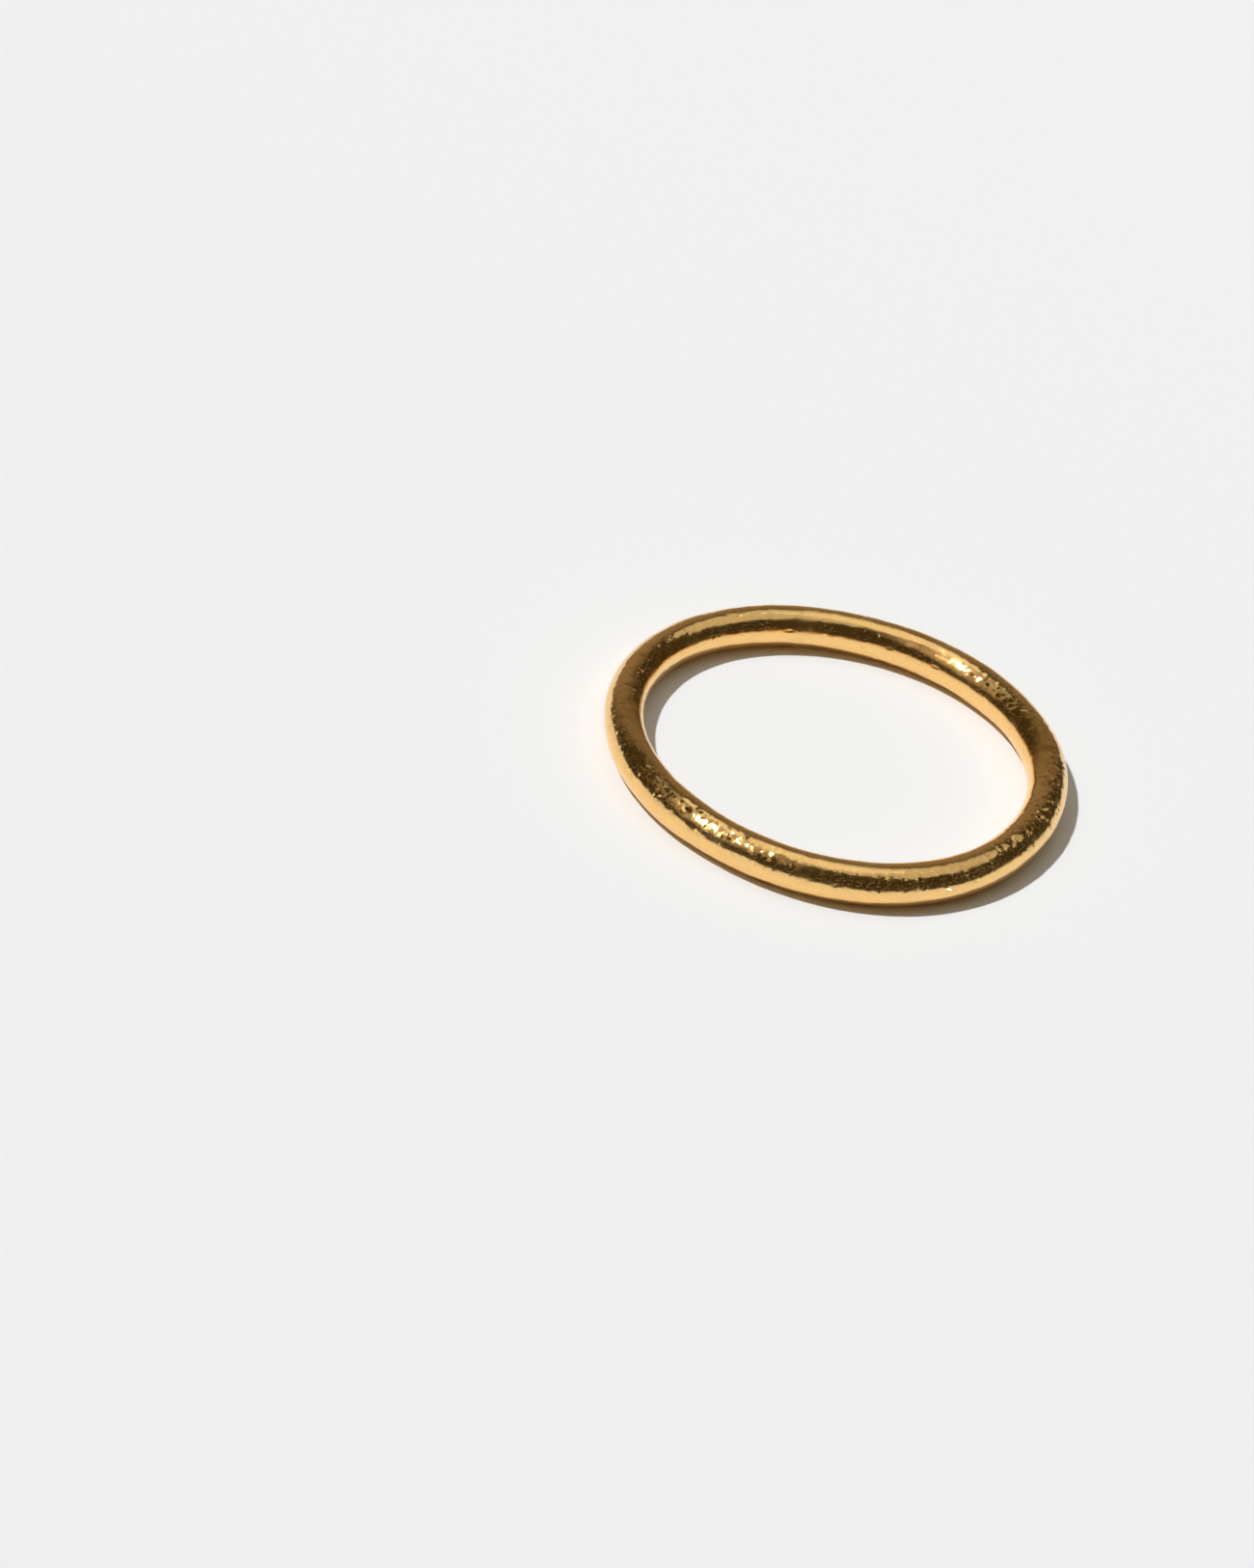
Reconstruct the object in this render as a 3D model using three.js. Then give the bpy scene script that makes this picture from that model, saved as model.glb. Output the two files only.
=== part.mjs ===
// A plain stackable ring: one closed band of drawn gold-plated silver wire, soldered into a hoop
// and rounded by hand on a mandrel. Its section is very nearly round, a little wider along the
// finger than across it, and both sides are level so that the next ring in a stack lies against it.
//
// Millimetres. +Z runs along the finger axis. The ring lies on its side on the plane z = 0, and the
// origin is on that plane at the middle of the finger hole.

import * as THREE from "three";

// Driving dimensions.
const FINGER_HOLE = 17.3; // inside diameter of the true circle that the hoop was rounded to
const WIRE_ACROSS = 1.82; // wire thickness square to the finger, from the hole to the outside
const WIRE_ALONG = 1.9; // wire width along the finger, which is the height of the ring as it lies
const BAND_STEPS = 120; // facets round the hoop
const SECTION_STEPS = 24; // facets round the wire, with one level facet on each side of the ring

const BAND_RADIUS = (FINGER_HOLE + WIRE_ACROSS) / 2; // from the finger axis to the middle of the wire

// Hand rounding leaves the hoop a little off a true circle. Each row is a high or a low place on
// it, and says how far outside the band radius the middle of the wire lies there.
const OUT_OF_ROUND = [
  { degrees: 30, outside: 0.17 },
  { degrees: 105, outside: -0.18 },
  { degrees: 165, outside: 0.02 },
  { degrees: 240, outside: -0.1 },
  { degrees: 290, outside: 0.03 },
  { degrees: 340, outside: -0.12 },
];

// Filing and polishing leave the wire thicker across in some places than in others. Each row is a
// thick or a thin place.
const UNEVEN_WIRE = [
  { degrees: 35, thicker: 0.05 },
  { degrees: 165, thicker: -0.06 },
  { degrees: 285, thicker: 0.06 },
  { degrees: 345, thicker: -0.04 },
];

const GOLD = new THREE.MeshStandardMaterial({
  color: 0xd9a441,
  roughness: 0.16,
  metalness: 1,
});

// A column's value at one angle round the finger. It eases from each row of the table to the next.
function eased(rows, column, degrees) {
  const next = Math.max(0, rows.findIndex((row) => row.degrees > degrees));
  const after = rows[next];
  const before = rows.at(next - 1);
  const span = THREE.MathUtils.euclideanModulo(after.degrees - before.degrees, 360);
  const share = THREE.MathUtils.euclideanModulo(degrees - before.degrees, 360) / span;
  const ease = (1 - Math.cos(Math.PI * share)) / 2;
  return THREE.MathUtils.lerp(before[column], after[column], ease);
}

// The wire's section, closed on itself. Half a facet of turn puts a level facet top and bottom.
function wireSection() {
  const start = Math.PI / 2 + Math.PI / SECTION_STEPS;
  const section = new THREE.EllipseCurve(
    BAND_RADIUS,
    0,
    WIRE_ACROSS / 2,
    WIRE_ALONG / 2,
    start,
    start + 2 * Math.PI,
  );
  return section.getPoints(SECTION_STEPS);
}

// Moves one point of the true hoop in or out, by what the tables say of its place on the finger.
function roundByHand(point) {
  const angle = Math.atan2(point.y, point.x);
  const degrees = THREE.MathUtils.euclideanModulo(THREE.MathUtils.radToDeg(angle), 360);
  const fromWire = Math.hypot(point.x, point.y) - BAND_RADIUS;
  const thickness = 1 + eased(UNEVEN_WIRE, "thicker", degrees) / WIRE_ACROSS;
  const radius = BAND_RADIUS + eased(OUT_OF_ROUND, "outside", degrees) + fromWire * thickness;
  point.x = radius * Math.cos(angle);
  point.y = radius * Math.sin(angle);
}

// The band: the section turned round the finger axis, then rounded by hand.
function bandGeometry() {
  const band = new THREE.LatheGeometry(wireSection(), BAND_STEPS);
  band.rotateX(Math.PI / 2);
  const places = band.getAttribute("position");
  const point = new THREE.Vector3();
  for (let i = 0; i < places.count; i += 1) {
    point.fromBufferAttribute(places, i);
    roundByHand(point);
    places.setXYZ(i, point.x, point.y, point.z);
  }
  band.computeVertexNormals();
  return band;
}

// Puts the origin at the middle of the hole, on the plane that the ring lies on.
function layOnItsSide(band) {
  band.computeBoundingBox();
  const middle = band.boundingBox.getCenter(new THREE.Vector3());
  band.translate(-middle.x, -middle.y, -band.boundingBox.min.z);
  return band;
}

const ring = new THREE.Mesh(layOnItsSide(bandGeometry()), GOLD);
ring.name = "ring";

const stackableRing = new THREE.Group();
stackableRing.add(ring);

export default stackableRing;
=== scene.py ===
"""A gold-plated stackable ring, laid on its side on a white card in a small studio.

Lengths are in metres and angles in radians unless a name says otherwise. Places on the band are
given by two angles: "round" goes round the finger, from the right-hand side and counter-clockwise
seen from above, and "across" goes round the wire, from its outermost line up over the top.
"""

import math

import bpy
import numpy as np
from bpy.props import FloatProperty, FloatVectorProperty, IntProperty, PointerProperty
from mathutils import Matrix, Vector, noise


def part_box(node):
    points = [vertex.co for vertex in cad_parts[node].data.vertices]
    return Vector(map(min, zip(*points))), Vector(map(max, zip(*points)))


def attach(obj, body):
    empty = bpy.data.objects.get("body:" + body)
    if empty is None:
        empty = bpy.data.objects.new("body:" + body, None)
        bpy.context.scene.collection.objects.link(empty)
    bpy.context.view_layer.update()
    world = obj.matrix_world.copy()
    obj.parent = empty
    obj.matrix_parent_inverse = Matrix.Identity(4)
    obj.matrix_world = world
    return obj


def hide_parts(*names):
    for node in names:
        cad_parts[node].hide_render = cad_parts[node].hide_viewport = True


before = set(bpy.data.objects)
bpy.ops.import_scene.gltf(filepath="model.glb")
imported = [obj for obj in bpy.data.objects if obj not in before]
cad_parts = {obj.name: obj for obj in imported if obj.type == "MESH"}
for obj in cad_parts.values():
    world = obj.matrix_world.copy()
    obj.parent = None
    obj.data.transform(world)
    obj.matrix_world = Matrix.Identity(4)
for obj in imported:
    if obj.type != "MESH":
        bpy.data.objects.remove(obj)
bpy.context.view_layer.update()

bl_info = {
    "name": "Stackable Ring",
    "version": (1, 0, 0),
    "blender": (4, 5, 0),
    "location": "3D View > Sidebar > Ring",
    "description": "Builds the plated band of a stackable ring and the studio it lies in",
    "category": "Add Mesh",
}

MM = 0.001
MICRON = 0.001 * MM


# ------------------------------------------------------------------ what a user may change

def linear(hex_colour):
    """An sRGB hex colour as the linear red, green and blue that the renderer works in."""
    parts = [int(hex_colour[i:i + 2], 16) / 255 for i in (1, 3, 5)]
    return [c / 12.92 if c <= 0.04045 else ((c + 0.055) / 1.055) ** 2.4 for c in parts]


class BandShape(bpy.types.PropertyGroup):
    """How finely the band is cut, and what working it by hand has left on it."""

    steps_round: IntProperty(
        name="Steps round the finger",
        description="Cross-sections in the band",
        default=900,
        min=120,
    )
    steps_across: IntProperty(
        name="Steps round the wire",
        description="Points in each cross-section",
        default=96,
        min=24,
    )
    lump_height: FloatProperty(
        name="Lump height",
        description="Height of the broad lumps that the mandrel and mallet left",
        default=30 * MICRON,
        unit="LENGTH",
    )
    ripple_height: FloatProperty(
        name="Ripple height",
        description="Height of the finer ripple under the polish",
        default=20 * MICRON,
        unit="LENGTH",
    )
    die_line_height: FloatProperty(
        name="Die line height",
        description="Height of the fine lines along the wire that drawing it through a die left",
        default=3 * MICRON,
        unit="LENGTH",
    )
    grain_height: FloatProperty(
        name="Grain height",
        description="Height of the grain that tumbling with steel shot left",
        default=4 * MICRON,
        unit="LENGTH",
    )


class PlateFinish(bpy.types.PropertyGroup):
    """The colour and polish of the gold plate."""

    colour: FloatVectorProperty(
        name="Gold",
        description="Colour of the plate where light falls square on it",
        subtype="COLOR",
        default=linear("#FFD188"),
        min=0.0,
        max=1.0,
    )
    tarnish: FloatVectorProperty(
        name="Tarnish",
        description="Colour that the dullest facets of the worn grain turn towards",
        subtype="COLOR",
        default=linear("#8F6630"),
        min=0.0,
        max=1.0,
    )
    polish: FloatProperty(
        name="Roughness",
        description="Roughness of the polished plate",
        subtype="FACTOR",
        default=0.11,
        min=0.0,
        max=1.0,
    )


class Studio(bpy.types.PropertyGroup):
    """The card that the ring lies on, and the light."""

    card: FloatVectorProperty(
        name="Card",
        description="Colour of the white card",
        subtype="COLOR",
        default=linear("#F1F1F1"),
        min=0.0,
        max=1.0,
    )
    key_strength: FloatProperty(
        name="Key light",
        description="Light that the key light sheds on a surface facing it, in watts a square metre",
        default=2.8,
        min=0.0,
    )


# ------------------------------------------------------------------ the shape of the band

HOOP_WAVES = 8  # how many waves round the finger are enough to follow the hand-rounded hoop
SAME_LEVEL = 10 * MICRON  # corners of the CAD band no further apart in height are on one level

# How wide each kind of unevenness is, from bump to bump.
LUMP_SIZE = 3.0 * MM
RIPPLE_SIZE = 0.75 * MM
GRAIN_SIZE = 0.3 * MM
DIE_LINE_LENGTH = 2.4 * MM
DIE_LINE_WIDTH = 0.22 * MM

RIPPLE_WITHOUT_WEAR = 0.45  # share of the ripple's height that is there without any wear

# Where tumbling has roughened the plate most, and how far the roughness spreads along and across
# the wire, all in degrees. The strongest is 1.
WORN_PLACES = (
    {"round": -122, "across": 45, "long": 45, "wide": 40, "strength": 0.9},
    {"round": -55, "across": 42, "long": 28, "wide": 36, "strength": 0.6},
    {"round": -8, "across": 72, "long": 36, "wide": 45, "strength": 1.0},
    {"round": 42, "across": 115, "long": 15, "wide": 35, "strength": 0.8},
    {"round": 165, "across": 105, "long": 20, "wide": 30, "strength": 0.45},
)
WEAR_ELSEWHERE = 0.12

# The wear is patchy. Its patches swing about a middle value, and never fall below the least.
WEAR_PATCHES = {"size": 0.9 * MM, "middle": 0.75, "swing": 0.8, "least": 0.15}

# Knocks and scratches. Degrees say where each is and how far it is turned from the length of the
# wire; its length and width are in millimetres and its depth in microns.
NICKS = (
    {"round": 179, "across": 158, "turn": 85, "long": 0.20, "wide": 0.10, "deep": 20},
    {"round": 166, "across": 112, "turn": 30, "long": 0.16, "wide": 0.11, "deep": 14},
    {"round": 147, "across": 118, "turn": 25, "long": 0.30, "wide": 0.13, "deep": 14},
    {"round": 143, "across": 113, "turn": -25, "long": 0.30, "wide": 0.13, "deep": 14},
    {"round": 139, "across": 154, "turn": 20, "long": 0.14, "wide": 0.11, "deep": 18},
    {"round": 132, "across": 95, "turn": 10, "long": 0.30, "wide": 0.12, "deep": 14},
    {"round": 127, "across": 94, "turn": 4, "long": 0.60, "wide": 0.12, "deep": 12},
    {"round": 113, "across": 160, "turn": 3, "long": 0.55, "wide": 0.12, "deep": 18},
    {"round": 102, "across": 173, "turn": 80, "long": 0.22, "wide": 0.11, "deep": 20},
    {"round": 91, "across": 133, "turn": 20, "long": 0.16, "wide": 0.11, "deep": 16},
    {"round": 82, "across": 161, "turn": 8, "long": 0.35, "wide": 0.12, "deep": 16},
    {"round": 73, "across": 125, "turn": 15, "long": 0.25, "wide": 0.13, "deep": 12},
    {"round": 67, "across": 162, "turn": 4, "long": 0.50, "wide": 0.12, "deep": 16},
    {"round": 57, "across": 133, "turn": 15, "long": 0.32, "wide": 0.16, "deep": 18},
    {"round": 53, "across": 132, "turn": 30, "long": 0.20, "wide": 0.12, "deep": 16},
    {"round": 48, "across": 105, "turn": -50, "long": 0.55, "wide": 0.11, "deep": 16},
    {"round": 48, "across": 172, "turn": 60, "long": 0.28, "wide": 0.11, "deep": 20},
    {"round": 44, "across": 112, "turn": 2, "long": 1.30, "wide": 0.11, "deep": 12},
    {"round": 43, "across": 127, "turn": 40, "long": 0.20, "wide": 0.12, "deep": 20},
    {"round": 38, "across": 125, "turn": 50, "long": 0.28, "wide": 0.16, "deep": 24},
    {"round": 35, "across": 98, "turn": 60, "long": 0.45, "wide": 0.12, "deep": 20},
    {"round": 28, "across": 95, "turn": 40, "long": 0.25, "wide": 0.12, "deep": 18},
    {"round": 27, "across": 170, "turn": 60, "long": 0.32, "wide": 0.14, "deep": 24},
    {"round": 23, "across": 165, "turn": 10, "long": 0.38, "wide": 0.14, "deep": 22},
    {"round": -28, "across": 80, "turn": 80, "long": 0.50, "wide": 0.11, "deep": 18},
    {"round": -32, "across": 50, "turn": 10, "long": 0.16, "wide": 0.11, "deep": 18},
    {"round": -35, "across": 13, "turn": 60, "long": 0.16, "wide": 0.11, "deep": 18},
    {"round": -72, "across": -10, "turn": 30, "long": 0.15, "wide": 0.11, "deep": 22},
    {"round": -79, "across": 2, "turn": 0, "long": 0.12, "wide": 0.11, "deep": 22},
    {"round": -82, "across": 20, "turn": 20, "long": 0.18, "wide": 0.11, "deep": 20},
    {"round": -171, "across": 92, "turn": 0, "long": 0.14, "wide": 0.12, "deep": 18},
    {"round": -178, "across": 82, "turn": 40, "long": 0.28, "wide": 0.13, "deep": 20},
)


def hoop_waves(angles):
    """The waves round the finger that a smooth hoop's radius is a sum of, one to a column."""
    columns = [np.ones_like(angles)]
    for crests in range(1, HOOP_WAVES + 1):
        columns += [np.cos(crests * angles), np.sin(crests * angles)]
    return np.stack(columns, axis=-1)


def measure_hoop(node):
    """The smooth hoop that the CAD band's facets stand for.

    Returns its centre line and its half thickness, each as shares of hoop_waves, and the half
    height of its wire. Every corner of the CAD band lies on an ellipse round the centre line, so
    its height says how far out on the ellipse it is.
    """
    corners = np.empty(len(node.data.vertices) * 3)
    node.data.vertices.foreach_get("co", corners)
    x, y, z = corners.reshape(-1, 3).T
    angles, radii = np.arctan2(y, x), np.hypot(x, y)
    half_height = (z.max() - z.min()) / 2
    levels = len(np.unique(np.round(z / SAME_LEVEL)))
    half_facet = math.pi / (2 * levels)  # how far the highest corners lie from the ellipse's top
    rise = (z - half_height - z.min()) / half_height * math.cos(half_facet)
    reach = np.sqrt(1 - rise ** 2)
    waves = hoop_waves(angles)
    middle = waves @ np.linalg.lstsq(waves, radii, rcond=None)[0]
    reach = np.where(radii > middle, reach, -reach)
    both = np.hstack([waves, waves * reach[:, None]])
    shares = np.linalg.lstsq(both, radii, rcond=None)[0]
    return *np.split(shares, 2), half_height


def smooth_band(node, steps_round, steps_across):
    """Points of the smooth band, in rows round the finger, with their two angles in degrees."""
    centre_line, half_thickness, half_height = measure_hoop(node)
    round_angles = np.linspace(-math.pi, math.pi, steps_round, endpoint=False)[:, None]
    across_angles = np.linspace(-math.pi, math.pi, steps_across, endpoint=False)[None, :]
    waves = hoop_waves(round_angles[:, 0])
    radius = (waves @ centre_line)[:, None] + (waves @ half_thickness)[:, None] * np.cos(across_angles)
    height = np.broadcast_to(half_height * (1 + np.sin(across_angles)), radius.shape)
    points = np.stack([radius * np.cos(round_angles), radius * np.sin(round_angles), height], axis=-1)
    degrees = [np.degrees(np.broadcast_to(a, radius.shape)) for a in (round_angles, across_angles)]
    return points, *degrees


def outward(points):
    """The direction square to the band's surface at each of its points."""
    along = np.roll(points, -1, axis=0) - np.roll(points, 1, axis=0)
    over = np.roll(points, -1, axis=1) - np.roll(points, 1, axis=1)
    square = np.cross(along, over)
    return square / np.linalg.norm(square, axis=-1, keepdims=True)


def degrees_apart(angles, angle):
    """How far angles lie from one angle, the short way round."""
    return (angles - angle + 180) % 360 - 180


def tumble_wear(round_degrees, across_degrees):
    """How rough tumbling has left each point, from WEAR_ELSEWHERE on the smoothest plate to 1."""
    wear = np.full_like(round_degrees, WEAR_ELSEWHERE)
    for place in WORN_PLACES:
        along = degrees_apart(round_degrees, place["round"]) / place["long"]
        over = degrees_apart(across_degrees, place["across"]) / place["wide"]
        wear = np.maximum(wear, place["strength"] * np.exp(-along ** 2 - over ** 2))
    return wear


def nick_depth(round_degrees, across_degrees, hoop_radius, wire_radius):
    """How deep the knocks and scratches go at each point."""
    depth = np.zeros_like(round_degrees)
    for nick in NICKS:
        along = np.radians(degrees_apart(round_degrees, nick["round"])) * hoop_radius
        over = np.radians(degrees_apart(across_degrees, nick["across"])) * wire_radius
        turn = math.radians(nick["turn"])
        length = (along * math.cos(turn) + over * math.sin(turn)) / (nick["long"] / 2 * MM)
        width = (over * math.cos(turn) - along * math.sin(turn)) / (nick["wide"] / 2 * MM)
        depth += nick["deep"] * MICRON * np.exp(-length ** 2 - width ** 2)
    return depth


def surface_noise(points, size, octaves, shift=0.0):
    """Smooth noise from about -1 to 1 at each point, with bumps of the given size.

    Each octave after the first is half as wide and half as high as the one before. A shift reads
    the noise at another place, so that two kinds of bump don't rise together.
    """
    spots = ((points + shift) / size).reshape(-1, 3).tolist()
    values = [noise.fractal(spot, 1.0, 2.0, octaves) for spot in spots]
    return np.array(values).reshape(points.shape[:-1])


def die_lines(round_degrees, across_degrees, hoop_radius, wire_radius):
    """Smooth ridges along the wire, from about -1 to 1 at each point."""
    turns = np.radians(round_degrees)
    along = hoop_radius / DIE_LINE_LENGTH
    over = np.abs(np.radians(across_degrees)) * wire_radius / DIE_LINE_WIDTH
    return surface_noise(np.stack([along * np.cos(turns), along * np.sin(turns), over], axis=-1), 1.0, 2)


def build_band(shape):
    """The band as one closed mesh, with the wear of each point kept for the finish."""
    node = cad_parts["ring"]
    points, round_degrees, across_degrees = smooth_band(node, shape.steps_round, shape.steps_across)
    low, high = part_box("ring")
    wire_radius = (high.z - low.z) / 2
    hoop_radius = (high.x - low.x) / 2 - wire_radius
    tumbled = tumble_wear(round_degrees, across_degrees)
    patches = surface_noise(points, WEAR_PATCHES["size"], 2, shift=11 * MM)
    patches = WEAR_PATCHES["middle"] + WEAR_PATCHES["swing"] * patches
    wear = tumbled * np.clip(patches, WEAR_PATCHES["least"], 1.0)
    ripple = RIPPLE_WITHOUT_WEAR + (1 - RIPPLE_WITHOUT_WEAR) * tumbled
    height = shape.lump_height * surface_noise(points, LUMP_SIZE, 1)
    height += shape.ripple_height * ripple * surface_noise(points, RIPPLE_SIZE, 3, shift=7 * MM)
    height += shape.die_line_height * die_lines(round_degrees, across_degrees, hoop_radius, wire_radius)
    height += shape.grain_height * wear * surface_noise(points, GRAIN_SIZE, 1, shift=-5 * MM)
    height -= nick_depth(round_degrees, across_degrees, hoop_radius, wire_radius)
    points = points + outward(points) * height[..., None]
    points[..., 2] = np.clip(points[..., 2], low.z, None)  # nothing reaches into the card

    rows, columns = points.shape[:2]
    corner = np.arange(rows * columns).reshape(rows, columns)
    next_row = np.roll(corner, -1, axis=0)
    faces = np.stack(
        [corner, next_row, np.roll(next_row, -1, axis=1), np.roll(corner, -1, axis=1)], axis=-1
    )
    mesh = bpy.data.meshes.new("gold_band")
    mesh.from_pydata(points.reshape(-1, 3).tolist(), [], faces.reshape(-1, 4).tolist())
    mesh.shade_smooth()
    mesh.attributes.new("wear", "FLOAT", "POINT").data.foreach_set("value", wear.ravel())
    band = bpy.data.objects.new("gold_band", mesh)
    bpy.context.scene.collection.objects.link(band)
    return band


# ------------------------------------------------------------------ finishes

FACET_SIZE = 0.16 * MM
FACET_LEAN = math.radians(22)  # about how far the steepest facets lean
FACET_RARITY = 2.5  # the power that makes most facets lean much less than the steepest
CLEAN_SHARE = 0.3  # share of the facets that hold no tarnish
TARNISHED_SHARE = 0.5  # how much of the tarnish's colour the dullest facets take
CLOUD_SIZE = 1.5 * MM  # how wide the clouds are that make the polish vary
CLOUD_RANGE = (0.3, 0.7)  # values of the noise that stand for the brightest and dullest clouds
BRIGHTEST_CLOUD = -0.03  # what the brightest and the dullest clouds add to the roughness
DULLEST_CLOUD = 0.04
LINE_PULL = 0.93  # how strongly the polishing lines draw a highlight out
LINE_TURN = 0.25  # turns a drawn-out highlight from along the wire to across it

TOOTH_SIZE = 0.35 * MM
TOOTH_HEIGHT = 12 * MICRON


def add_node(tree, kind, settings, inputs):
    """Adds one node, sets it up, and fills its inputs with values or with links from sockets.

    An input goes by its name, or by its number where several inputs share a name.
    """
    node = tree.nodes.new(kind)
    for name, value in settings.items():
        setattr(node, name, value)
    sockets = {socket.name: socket for socket in node.inputs if socket.enabled}
    for name, value in inputs.items():
        socket = node.inputs[name] if isinstance(name, int) else sockets[name]
        if isinstance(value, bpy.types.NodeSocket):
            tree.links.new(value, socket)
        else:
            socket.default_value = value
    return node


def tumbled_gold_plate(finish):
    """Gold plate about a micron thick on sterling silver, tumbled bright with steel shot.

    The gold is deep and slightly red, as 22 to 24 carat plate is, and mirrors the room in clear
    bands. Fine polishing lines run along the wire and draw each highlight out across it. Where the
    shot struck hardest it left a grain of small facets that lean every way, most of them only a
    little. They glint in the dark bands, and the dullest hold a trace of tarnish. Real facets are
    about 0.04 to 0.13 mm across, and are drawn somewhat coarser than that to show.
    """
    material = bpy.data.materials.new("tumbled_gold_plate")
    material.use_nodes = True
    tree = material.node_tree
    tree.nodes.clear()
    place = add_node(tree, "ShaderNodeTexCoord", {}, {}).outputs["Object"]
    wear = add_node(tree, "ShaderNodeAttribute", {"attribute_name": "wear"}, {}).outputs["Fac"]
    cells = add_node(
        tree, "ShaderNodeTexVoronoi", {"feature": "F1"}, {"Vector": place, "Scale": 1 / FACET_SIZE}
    )
    offset = add_node(
        tree,
        "ShaderNodeVectorMath",
        {"operation": "SUBTRACT"},
        {0: place, 1: cells.outputs["Position"]},
    )
    lean = add_node(
        tree,
        "ShaderNodeVectorMath",
        {"operation": "SUBTRACT"},
        {0: cells.outputs["Color"], 1: (0.5, 0.5, 0.5)},
    )
    facets = add_node(
        tree,
        "ShaderNodeVectorMath",
        {"operation": "DOT_PRODUCT"},
        {0: lean.outputs["Vector"], 1: offset.outputs["Vector"]},
    )
    chance = add_node(tree, "ShaderNodeSeparateColor", {}, {"Color": cells.outputs["Color"]})
    few = add_node(
        tree,
        "ShaderNodeMath",
        {"operation": "POWER"},
        {0: chance.outputs["Red"], 1: FACET_RARITY},
    )
    steep = add_node(
        tree, "ShaderNodeMath", {"operation": "MULTIPLY"}, {0: few.outputs["Value"], 1: wear}
    )
    grain = add_node(
        tree,
        "ShaderNodeMath",
        {"operation": "MULTIPLY"},
        {0: facets.outputs["Value"], 1: steep.outputs["Value"]},
    )
    # A cell's colour is up to half away from grey, so twice the slope gives the full lean.
    bump = add_node(
        tree,
        "ShaderNodeBump",
        {},
        {"Strength": 1.0, "Distance": 2 * math.tan(FACET_LEAN), "Height": grain.outputs["Value"]},
    )
    dull = add_node(
        tree,
        "ShaderNodeMapRange",
        {},
        {"Value": chance.outputs["Green"], "From Min": CLEAN_SHARE, "To Max": TARNISHED_SHARE},
    )
    stained = add_node(
        tree, "ShaderNodeMath", {"operation": "MULTIPLY"}, {0: dull.outputs["Result"], 1: wear}
    )
    tone = add_node(
        tree,
        "ShaderNodeMix",
        {"data_type": "RGBA"},
        {
            "Factor": stained.outputs["Value"],
            "A": (*finish.colour, 1.0),
            "B": (*finish.tarnish, 1.0),
        },
    )
    clouds = add_node(
        tree,
        "ShaderNodeTexNoise",
        {},
        {"Vector": place, "Scale": 1 / CLOUD_SIZE, "Detail": 3.0},
    )
    roughness = add_node(
        tree,
        "ShaderNodeMapRange",
        {},
        {
            "Value": clouds.outputs["Fac"],
            "From Min": CLOUD_RANGE[0],
            "From Max": CLOUD_RANGE[1],
            "To Min": finish.polish + BRIGHTEST_CLOUD,
            "To Max": finish.polish + DULLEST_CLOUD,
        },
    )
    around = add_node(tree, "ShaderNodeTangent", {"direction_type": "RADIAL", "axis": "Z"}, {})
    plate = add_node(
        tree,
        "ShaderNodeBsdfPrincipled",
        {},
        {
            "Base Color": tone.outputs[2],  # the first two are for mixing numbers and vectors
            "Metallic": 1.0,
            "Roughness": roughness.outputs["Result"],
            "Anisotropic": LINE_PULL,
            "Anisotropic Rotation": LINE_TURN,
            "Tangent": around.outputs["Tangent"],
            "Normal": bump.outputs["Normal"],
        },
    )
    add_node(tree, "ShaderNodeOutputMaterial", {}, {"Surface": plate.outputs["BSDF"]})
    return material


def matt_card(colour):
    """Uncoated white card. It has no shine, and a faint tooth that breaks up the flat white.

    Its fibres are finer than the tooth, which is drawn coarse enough to show.
    """
    material = bpy.data.materials.new("matt_card")
    material.use_nodes = True
    tree = material.node_tree
    tree.nodes.clear()
    place = add_node(tree, "ShaderNodeTexCoord", {}, {}).outputs["Object"]
    tooth = add_node(
        tree, "ShaderNodeTexNoise", {}, {"Vector": place, "Scale": 1 / TOOTH_SIZE, "Detail": 3.0}
    )
    bump = add_node(
        tree,
        "ShaderNodeBump",
        {},
        {"Strength": 1.0, "Distance": TOOTH_HEIGHT, "Height": tooth.outputs["Fac"]},
    )
    card = add_node(
        tree,
        "ShaderNodeBsdfPrincipled",
        {},
        {
            "Base Color": (*colour, 1.0),
            "Roughness": 1.0,
            "Specular IOR Level": 0.0,
            "Normal": bump.outputs["Normal"],
        },
    )
    add_node(tree, "ShaderNodeOutputMaterial", {}, {"Surface": card.outputs["BSDF"]})
    return material


# ------------------------------------------------------------------ the studio

CARD_RADIUS = 3.0
CARD_SIDES = 64

KEY_FROM = {"round": -166, "above": 59}  # degrees round from the right, and above the card
KEY_WIDTH = math.radians(2.5)  # how wide the key light looks from the ring

KEY_COLOUR = "#F6FAFF"
PANEL_COLOUR = "#FFFFF8"
ROOM_COLOUR = "#FFE4AA"
BACKDROP_COLOUR = "#F1F1F1"

# Soft panels over the card: where each hangs from the ring, its size, and how bright it looks.
# No two hang at one height, because a light in another's plane would be lost behind it.
PANELS = (
    {"name": "ceiling", "right": 0.3, "back": 0.36, "up": 1.0, "wide": 1.25, "deep": 1.3, "glow": 0.52},
    {"name": "lamp", "right": -0.2, "back": 0.3, "up": 0.94, "wide": 0.9, "deep": 0.75, "glow": 0.3},
    {"name": "key_glow", "right": -0.6, "back": -0.25, "up": 0.97, "wide": 0.45, "deep": 0.45, "glow": 0.5},
)

# The rest of the room glows dimly all over, with soft brighter patches: where each is seen from
# the ring and how far it spreads to all sides before it is gone, in degrees, and how bright its
# middle is.
ROOM_GLOW = 0.045
ROOM_PATCHES = (
    {"round": 105, "above": 10, "spread": 44, "glow": 0.2, "colour": "#FFE7CB"},
    {"round": -155, "above": 54, "spread": 34, "glow": 0.4, "colour": "#FFF0DC"},
)

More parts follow.
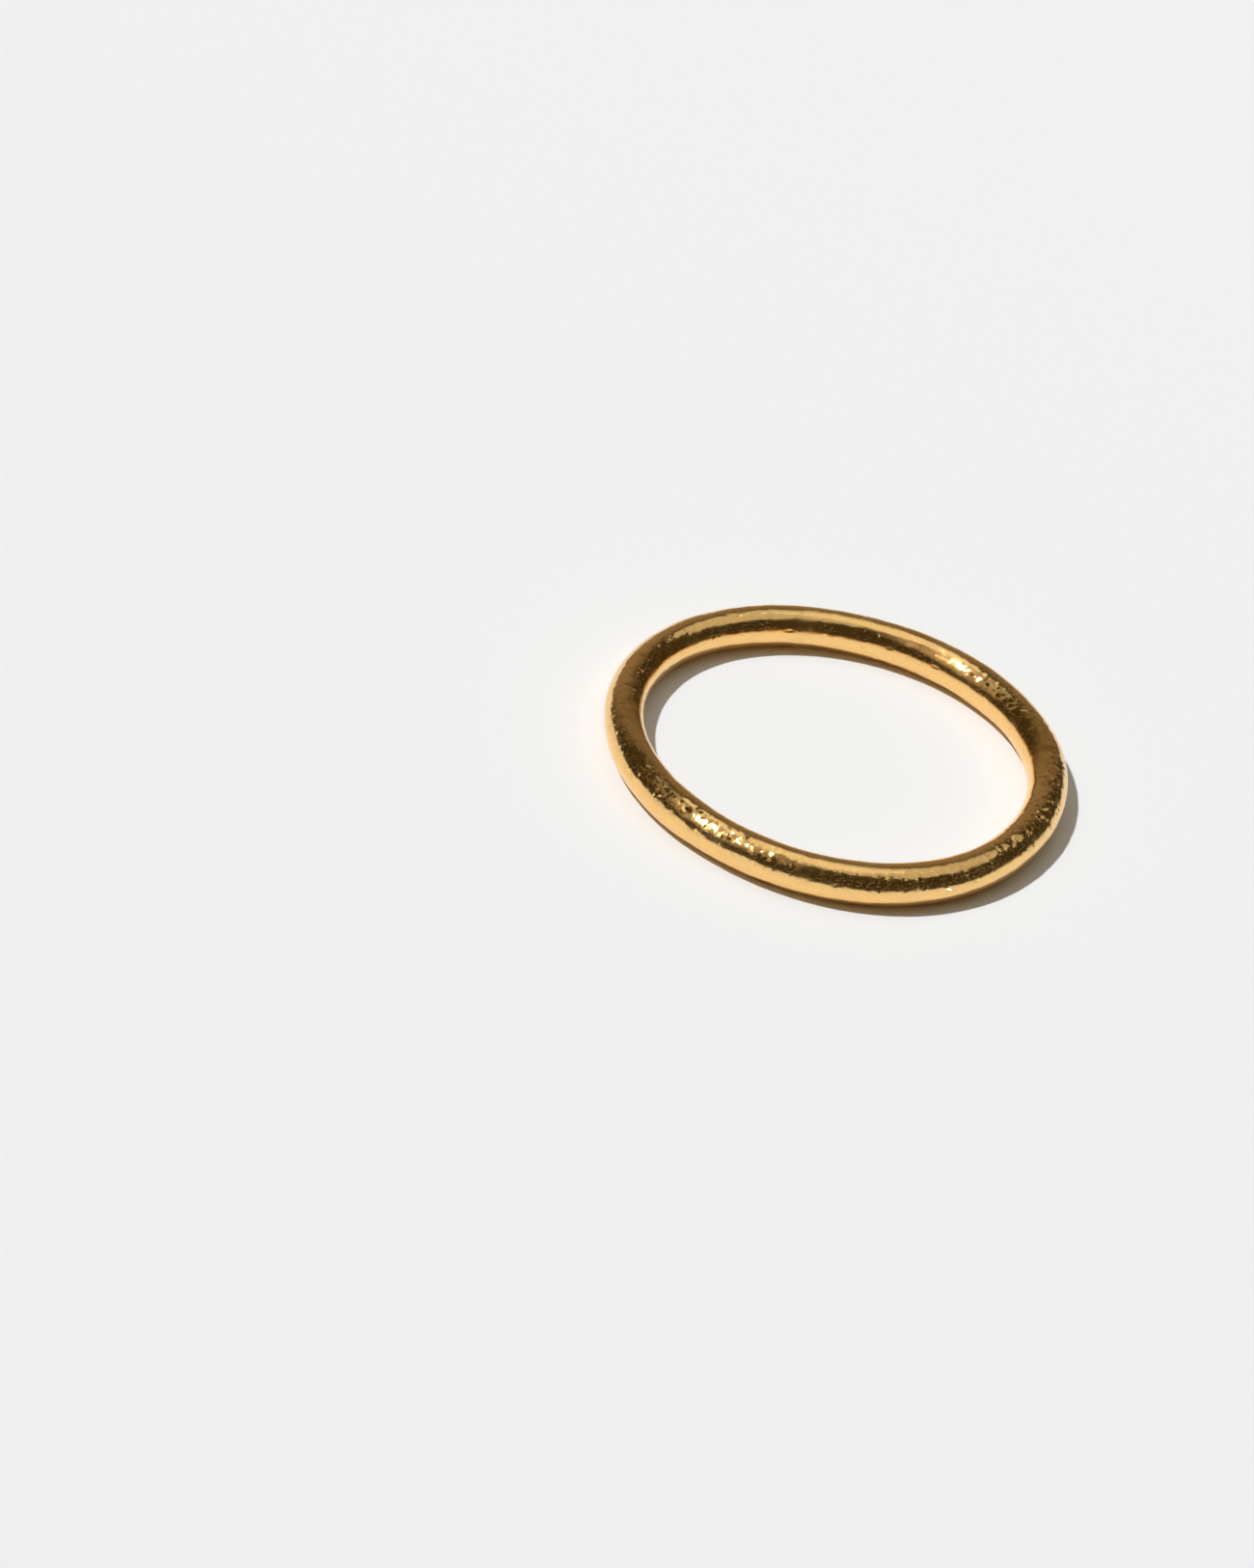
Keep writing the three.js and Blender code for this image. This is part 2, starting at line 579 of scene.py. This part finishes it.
CAMERA_ABOVE = math.radians(34.7)  # how far above the card the camera stands
CAMERA_TURN = math.radians(14.4)  # how far it is rolled
CAMERA_AWAY = 0.325
LENS = 168.3  # focal length in millimetres
FRAME_SHAPE = (1300, 1625)  # the picture's width to its height
RING_RIGHT_OF_MIDDLE = 0.167  # share of the frame's width
RING_ABOVE_MIDDLE = 0.021  # share of the frame's height


def toward(round_degrees, above_degrees):
    """The direction from the ring towards a place in the room."""
    around, above = math.radians(round_degrees), math.radians(above_degrees)
    return Vector((math.cos(around) * math.cos(above), math.sin(around) * math.cos(above), math.sin(above)))


def hang_light(data, place):
    """Puts a light in the scene, out of the camera's sight. It faces down until it is turned."""
    light = bpy.data.objects.new(data.name, data)
    light.location = place
    light.visible_camera = False
    bpy.context.scene.collection.objects.link(light)
    return light


def light_room(studio):
    """One hard key light, soft panels over the ring, and the dim room round them."""
    from_ring = toward(KEY_FROM["round"], KEY_FROM["above"])
    key = bpy.data.lights.new("key_light", "SUN")
    key.energy = studio.key_strength
    key.angle = KEY_WIDTH
    key.color = linear(KEY_COLOUR)
    hung_key = hang_light(key, from_ring)
    hung_key.rotation_euler = from_ring.to_track_quat("Z", "Y").to_euler()
    for panel in PANELS:
        soft = bpy.data.lights.new(panel["name"], "AREA")
        soft.shape = "ELLIPSE"
        soft.size, soft.size_y = panel["wide"], panel["deep"]
        soft.color = linear(PANEL_COLOUR)
        face = math.pi / 4 * panel["wide"] * panel["deep"]
        soft.energy = math.pi * face * panel["glow"]
        hang_light(soft, (panel["right"], panel["back"], panel["up"]))
    bpy.context.scene.world = dim_room()


def dim_room():
    """A dim warm room with its soft patches of light. The camera sees it as a pale backdrop."""
    world = bpy.data.worlds.new("dim_room")
    world.use_nodes = True
    tree = world.node_tree
    tree.nodes.clear()
    direction = add_node(tree, "ShaderNodeTexCoord", {}, {}).outputs["Generated"]
    room = add_node(
        tree, "ShaderNodeBackground", {}, {"Color": (*linear(ROOM_COLOUR), 1.0), "Strength": ROOM_GLOW}
    )
    for patch in ROOM_PATCHES:
        facing = add_node(
            tree,
            "ShaderNodeVectorMath",
            {"operation": "DOT_PRODUCT"},
            {0: direction, 1: toward(patch["round"], patch["above"])},
        )
        strength = add_node(
            tree,
            "ShaderNodeMapRange",
            {"interpolation_type": "SMOOTHSTEP"},
            {
                "Value": facing.outputs["Value"],
                "From Min": math.cos(math.radians(patch["spread"])),
                "To Max": patch["glow"],
            },
        )
        glow = add_node(
            tree,
            "ShaderNodeBackground",
            {},
            {"Color": (*linear(patch["colour"]), 1.0), "Strength": strength.outputs["Result"]},
        )
        room = add_node(tree, "ShaderNodeAddShader", {}, {0: room.outputs[0], 1: glow.outputs[0]})
    pale = add_node(
        tree, "ShaderNodeBackground", {}, {"Color": (*linear(BACKDROP_COLOUR), 1.0), "Strength": 1.0}
    )
    seen = add_node(tree, "ShaderNodeLightPath", {}, {}).outputs["Is Camera Ray"]
    both = add_node(
        tree, "ShaderNodeMixShader", {}, {0: seen, 1: room.outputs[0], 2: pale.outputs[0]}
    )
    add_node(tree, "ShaderNodeOutputWorld", {}, {"Surface": both.outputs["Shader"]})
    return world


def lay_card(studio):
    """The white card, a wide disc whose top is the surface that the ring lies on."""
    corners = [(CARD_RADIUS * math.cos(a), CARD_RADIUS * math.sin(a), 0.0)
               for a in np.linspace(0, 2 * math.pi, CARD_SIDES, endpoint=False)]
    mesh = bpy.data.meshes.new("card")
    mesh.from_pydata(corners, [], [list(range(len(corners)))])
    mesh.materials.append(matt_card(studio.card))
    card = bpy.data.objects.new("card", mesh)
    bpy.context.scene.collection.objects.link(card)


def aim_camera():
    """A long lens from the front and above, rolled a little so that the ring leans in the picture."""
    centre_line = measure_hoop(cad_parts["ring"])[0]
    low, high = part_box("ring")
    # A wave of one crest moves the whole hoop, so its two shares are the hoop's middle.
    centre = Vector((centre_line[1], centre_line[2], (low.z + high.z) / 2))
    data = bpy.data.cameras.new("camera")
    data.lens = LENS
    data.clip_start = 0.01
    tall = data.sensor_width
    wide = tall * FRAME_SHAPE[0] / FRAME_SHAPE[1]
    upright = Matrix.Rotation(math.pi / 2 - CAMERA_ABOVE, 4, "X")
    turned = upright @ Matrix.Rotation(CAMERA_TURN, 4, "Z")
    away = turned.col[2].to_3d() * CAMERA_AWAY
    left = Matrix.Rotation(math.atan(RING_RIGHT_OF_MIDDLE * wide / LENS), 4, "Y")
    down = Matrix.Rotation(-math.atan(RING_ABOVE_MIDDLE * tall / LENS), 4, "X")
    camera = bpy.data.objects.new("camera", data)
    camera.matrix_world = Matrix.Translation(centre + away) @ turned @ left @ down
    bpy.context.scene.collection.objects.link(camera)
    bpy.context.scene.camera = camera


# ------------------------------------------------------------------ operators and panel

class RING_OT_band(bpy.types.Operator):
    """Builds the plated band round the CAD band"""

    bl_idname = "ring.band"
    bl_label = "Plated Band"

    def execute(self, context):
        band = build_band(context.scene.ring_band)
        band.data.materials.append(tumbled_gold_plate(context.scene.ring_plate))
        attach(band, "root")
        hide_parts("ring")
        return {"FINISHED"}


class RING_OT_studio(bpy.types.Operator):
    """Lays the card, lights the room and aims the camera"""

    bl_idname = "ring.studio"
    bl_label = "Studio"

    def execute(self, context):
        lay_card(context.scene.ring_studio)
        light_room(context.scene.ring_studio)
        aim_camera()
        context.scene.view_settings.view_transform = "Standard"
        return {"FINISHED"}


class RING_PT_panel(bpy.types.Panel):
    """The ring's settings and the steps that build it"""

    bl_label = "Stackable Ring"
    bl_space_type = "VIEW_3D"
    bl_region_type = "UI"
    bl_category = "Ring"

    def draw(self, context):
        scene = context.scene
        for settings, operator in (
            ((scene.ring_band, scene.ring_plate), RING_OT_band),
            ((scene.ring_studio,), RING_OT_studio),
        ):
            box = self.layout.box()
            for group in settings:
                for name in group.bl_rna.properties.keys()[2:]:  # the first two are Blender's own
                    box.prop(group, name)
            box.operator(operator.bl_idname)


CLASSES = (BandShape, PlateFinish, Studio, RING_OT_band, RING_OT_studio, RING_PT_panel)


def register():
    for cls in CLASSES:
        bpy.utils.register_class(cls)
    bpy.types.Scene.ring_band = PointerProperty(type=BandShape)
    bpy.types.Scene.ring_plate = PointerProperty(type=PlateFinish)
    bpy.types.Scene.ring_studio = PointerProperty(type=Studio)


def unregister():
    del bpy.types.Scene.ring_studio
    del bpy.types.Scene.ring_plate
    del bpy.types.Scene.ring_band
    for cls in reversed(CLASSES):
        bpy.utils.unregister_class(cls)


def main():
    """Builds everything."""
    register()
    bpy.ops.ring.studio()
    bpy.ops.ring.band()


if __name__ == "__main__":
    main()
